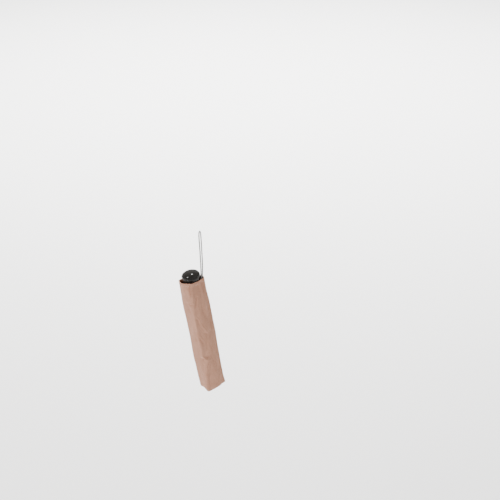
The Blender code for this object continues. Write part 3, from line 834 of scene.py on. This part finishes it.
def build_side_seam():
    """Narrow raised band down the sleeve, where its cloth is sewn together."""
    from_share = 0.002
    to_share = 0.995
    width = 2.6
    height = 0.5
    count = 150
    half = math.degrees(width / 2 / SLEEVE_MEAN_RADIUS)
    offsets = (-1.0, -0.8, -0.35, 0.0, 0.35, 0.8, 1.0)
    rises = (-0.35, 0.55, 1.0, 0.86, 1.0, 0.55, -0.35)
    points = np.zeros((count, len(offsets), 3))
    for r in range(count):
        share = from_share + (to_share - from_share) * r / (count - 1)
        angle = SEAM_AZIMUTH + np.array(offsets) * half
        radius = outer_radius(angle, share) + np.array(rises) * height
        points[r, :, 0] = radius * np.cos(np.radians(angle))
        points[r, :, 1] = radius * np.sin(np.radians(angle))
        points[r, :, 2] = lip_lift(angle, share) - share * SLEEVE_LENGTH

    def uv(r, c):
        return (c * width / 6 * MM, r * SLEEVE_LENGTH / count * MM)

    seam = grid_object("side_seam", points, False, uv)
    seam.data.materials.append(SLEEVE_CLOTH)
    thicken(seam, 0.15, -1.0)
    return seam


def finish_sleeve(sleeve):
    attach(sleeve, "sleeve")
    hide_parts("sleeve")
    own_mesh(sleeve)


# ---------------------------------------------------------------- handle, shaft, crown, runner


def add_turned(name, profile, material, body, node, place=AXIS, round_by=0.5):
    """Turned piece that takes the place of a packed one and rides with its body."""
    obj = turned(name, rounded(profile, round_by), material, place)
    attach(obj, body)
    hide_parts(node)


def build_handle():
    """Domed cap and grip of the handle."""
    radius = 17.8
    crease = 6.9
    height = 10.4
    slopes = np.linspace(0.0, 1.52, 34)
    dome = [(radius * math.sin(a), crease + height * math.cos(a) ** 0.95) for a in slopes]
    cap = dome + [(radius, crease), (17.65, 6.55), (12.0, 6.5), (12.0, 4.4), (0.0, 4.4)]
    add_turned("knob_cap", cap, PLASTIC, "handle", "handle_cap", round_by=0.25)
    grip = [
        (12.3, 6.2), (17.1, 6.2), (17.45, 5.8), (17.4, 4.0), (17.2, 2.0), (16.6, -4.0),
        (15.5, -12.0), (15.1, -19.0), (14.7, -21.2), (13.8, -22.0), (3.5, -22.0), (3.5, 4.1),
        (12.3, 4.1), (12.3, 6.2),
    ]
    add_turned("knob_grip", grip, PLASTIC, "handle", "handle_grip")


def tube_points(outer, inner, low, high):
    """Closed profile of a tube whose upper end is rolled slightly inwards."""
    lip = 1.4
    return [
        (inner, low), (outer - 0.1, low), (outer, low + 0.3), (outer, high - lip),
        (outer - 0.12, high - lip / 3), (outer - 0.22, high), (inner, high), (inner, low),
    ]


def build_shaft():
    """Lower and middle drawn tubes, and the end cap below the crown."""
    tubes = (
        # name, outer and inner radius, lower and upper end, body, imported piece
        ("tube_lower", 3.2, 2.7, -203.5, 3.5, "handle", "lower_tube"),
        ("tube_middle", 4.0, 3.5, -204.5, -23.5, "middle_tube", "middle_tube"),
    )
    for name, outer, inner, low, high, body, node in tubes:
        profile = tube_points(outer, inner, low, high)
        add_turned(name, profile, STEEL, body, node, round_by=0.1)
    cap = [
        (0.0, -215.8), (8.8, -215.8), (9.6, -216.3), (9.6, -217.2), (9.0, -218.8), (7.4, -220.2),
        (5.0, -220.9), (4.4, -220.7), (4.0, -220.95), (1.6, -221.2), (0.0, -221.2),
    ]
    add_turned("ferrule_cap", cap, PLASTIC, "crown", "crown_cap", round_by=0.8)


def add_rivet(name, radius, body, k, outwards, height):
    """Rivet with two low domed heads, across the k-th rib's own plane."""
    half_length = 1.6
    dome = 0.35
    neck = radius * 0.6
    profile = [(0.0, half_length + dome), (neck, half_length + dome * 0.8), (radius, half_length)]
    profile += [(radius, half_length - 0.3), (neck, half_length - 0.3)]
    profile += [(r, -z) for r, z in reversed(profile)]
    spot = Matrix.Rotation(rib_azimuth(k), 4, "Z") @ Matrix.Translation((outwards, 0.0, height))
    place = AXIS @ (spot @ Matrix.Rotation(math.pi / 2, 4, "X"))
    rivet = turned(name, profile, STEEL, place, segments=20)
    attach(rivet, body)


def build_rivets():
    """Rivets of the ribs' hinges, and the plastic tips of the outer ribs."""
    tip = [
        (0.0, 1.9), (0.9, 1.6), (1.25, 0.8), (1.25, -1.2), (0.95, -1.6), (1.15, -2.2),
        (1.0, -5.2), (0.0, -5.2),
    ]
    tip_place = Matrix.Translation((RIB_TIP_RADIUS, -0.9, RIB_TIP_Z))
    for k in range(1, RIBS + 1):
        top = f"top_rib_{k}"
        middle = f"middle_rib_{k}"
        add_rivet(f"knee_rivet_{k}", 0.75, top, k, KNEE_RADIUS, KNEE_Z)
        add_rivet(f"elbow_rivet_{k}", 0.75, middle, k, ELBOW_RADIUS, ELBOW_Z)
        add_rivet(f"stretcher_rivet_{k}", 0.65, top, k, STRETCHER_PIN_RADIUS, STRETCHER_PIN_Z)
        place = AXIS @ (Matrix.Rotation(rib_azimuth(k), 4, "Z") @ tip_place)
        cap = turned(f"rib_tip_{k}", rounded(tip, 0.4), PLASTIC, place, segments=24)
        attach(cap, f"outer_rib_{k}")


# ---------------------------------------------------------------- canopy


def rib_place(k):
    """Axes of one rib: x outwards, y across, z along the umbrella's axis."""
    return AXIS @ Matrix.Rotation(rib_azimuth(k), 4, "Z")


def panel_profile(bar, share):
    """Radial and axial place along one bar's cloth, share 0 at its crown-side end."""
    if bar == "top":
        z = np.interp(share, [0.0, 1.0], [-200.0, -42.5])
        depths = [-200.0, -196.0, -69.0, -60.0, -42.5]
        return np.interp(z, depths, [9.15, 9.22, 9.22, 10.6, 10.7]), z
    if bar == "middle":
        z = np.interp(share, [0.0, 1.0], [-42.5, -207.5])
        depths = [42.5, 56.0, 70.0, 190.0, 199.0, 207.5]
        return np.interp(-z, depths, [8.45, 8.6, 9.78, 9.78, 11.3, 11.5]), z
    z = np.interp(share, [0.0, 1.0], [-207.0, -30.0])
    return np.interp(z, [-207.0, -200.0, -187.0, -30.0], [14.4, 14.8, 15.5, 15.5]), z


# How much shorter the outer cloth is halfway between two ribs, as a share of its length
SCALLOP = 0.27
# Width of cloth that the weave is laid out for across one gore, in metres
OPEN_GORE_WIDTH = 0.28
PANEL_SHAPES = {
    # half width across the rib, rows along it, how far the strip bows out, how far its
    # edges lap over and under the next panel's, and the share of the fold's waves
    "top": (5.2, 40, 0.0, -0.14, 0.0),
    "middle": (5.45, 40, 0.0, 0.14, 0.0),
    "outer": (9.1, 60, 0.9, 0.25, 1.0),
}


def fold_waves(u, share, k):
    """Unevenness of the folded cloth, in millimetres: pleats along the strip and soft buckles."""
    phase = 1.7 * k
    inside = math.sin(math.pi * u) * math.sin(math.pi * share) ** 0.5
    drift = 0.4 * math.sin(4.0 * share + phase)
    pleats = 0.85 * abs(math.sin(math.pi * (2.2 * u + 0.7 * share) + drift + phase))
    buckles = 0.28 * math.sin(9.0 * share + 4.0 * u + phase) * math.sin(15.0 * share + 2.0 * phase)
    return inside * (pleats + buckles)


def build_panel(bar, k):
    """One strip of the canopy, folded on its bar."""
    half, rows, bow, lap, waves = PANEL_SHAPES[bar]
    place = rib_place(k)
    cols = 33
    points = np.zeros((rows, cols, 3))
    for r in range(rows):
        for c in range(cols):
            u = c / (cols - 1)
            share = r / (rows - 1)
            if bar == "outer":
                # the rim is cut in a shallow curve between two rib tips
                share *= 1.0 - SCALLOP * (4 * u * (1 - u)) ** 0.8
            h, z = panel_profile(bar, share)
            h += bow * math.sin(math.pi * u) + lap * (1 - 2 * u)
            h += waves * fold_waves(u, share, k)
            points[r, c] = (h, half * (2 * u - 1), z)

    def uv(r, c):
        return (OPEN_GORE_WIDTH * c / (cols - 1), (points[r, 0, 2] - points[0, 0, 2]) * MM)

    panel = grid_object(f"cloth_{bar}_{k}", points, False, uv, place)
    panel.data.materials.append(CANOPY_CLOTH)
    if bar == "middle":
        panel.data.flip_normals()
    thicken(panel, CANOPY_THICKNESS, 0.0)
    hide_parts(f"canopy_{bar}_{k}")
    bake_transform(panel)


def build_canopy():
    """All panels of the folded canopy."""
    for k in range(1, RIBS + 1):
        for bar in ("top", "middle", "outer"):
            build_panel(bar, k)


# ---------------------------------------------------------------- closure strap


def build_strap():
    """Closure strap: a hemmed band round the bundle, its loose end lapped under the snap."""
    cols = 160
    across = np.linspace(-1.0, 1.0, 21)
    lap = 0.11
    points = np.zeros((len(across), cols, 3))
    for c in range(cols):
        u = c / (cols - 1)
        angle = FIRST_RIB + math.radians(24.0) - u * 2 * math.pi * (1.0 + lap)
        lift = 0.75 * float(smoothstep(u, 0.90, 0.985))
        radius = STRAP_RADIUS + lift + 0.12 * math.sin(3 * angle + 1.0)
        for r, a in enumerate(across):
            reach = radius + 0.22 * math.exp(-(((abs(a) - 0.86) / 0.12) ** 2))
            taper = 1.0 - 0.35 * max(0.0, (u - 0.965) / 0.035) ** 2
            z = STRAP_Z + STRAP_HALF_WIDTH * a * taper + 0.3 * math.sin(2 * angle + 0.7)
            points[r, c] = (reach * math.cos(angle), reach * math.sin(angle), z)

    def uv(r, c):
        return (0.130 * c / (cols - 1), 0.0152 * r / (len(across) - 1))

    strap = grid_object("strap_band", points, False, uv)
    strap.data.materials.append(CANOPY_CLOTH)
    thicken(strap, STRAP_THICKNESS, -1.0)
    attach(strap, "outer_rib_1")
    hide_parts("closure_strap")
    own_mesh(strap)


def build_snap():
    """Snap fastener on the strap, its face outwards over the first rib."""
    disc = [
        (0.0, 0.9), (1.4, 0.85), (1.9, 0.45), (2.6, 0.45), (3.1, 0.75), (4.4, 0.6), (5.0, 0.1),
        (5.0, -0.3), (0.0, -0.3),
    ]
    spot = Matrix.Rotation(FIRST_RIB, 4, "Z") @ Matrix.Translation((SNAP_RADIUS, 0.0, STRAP_Z))
    place = AXIS @ (spot @ Matrix.Rotation(math.pi / 2, 4, "Y"))
    add_turned("snap_cap", disc, STEEL, "outer_rib_1", "strap_snap", place, 0.3)


def dress_frame():
    """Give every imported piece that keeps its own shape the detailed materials."""
    looks = {
        "sleeve": SLEEVE_CLOTH,
        "canopy": CANOPY_CLOTH,
        "handle": PLASTIC,
        "steel": STEEL,
        "rib": RIB_BLACK,
        "cord": CORD_GREY,
    }
    for obj in frame["nodes"].values():
        for slot in obj.material_slots:
            key = slot.material.name.split(".")[0] if slot.material else ""
            if key in looks:
                slot.material = looks[key]


build_stage()
build_cord()
finish_sleeve(build_sleeve())
build_handle()
build_shaft()
build_rivets()
build_canopy()
build_strap()
build_snap()
dress_frame()
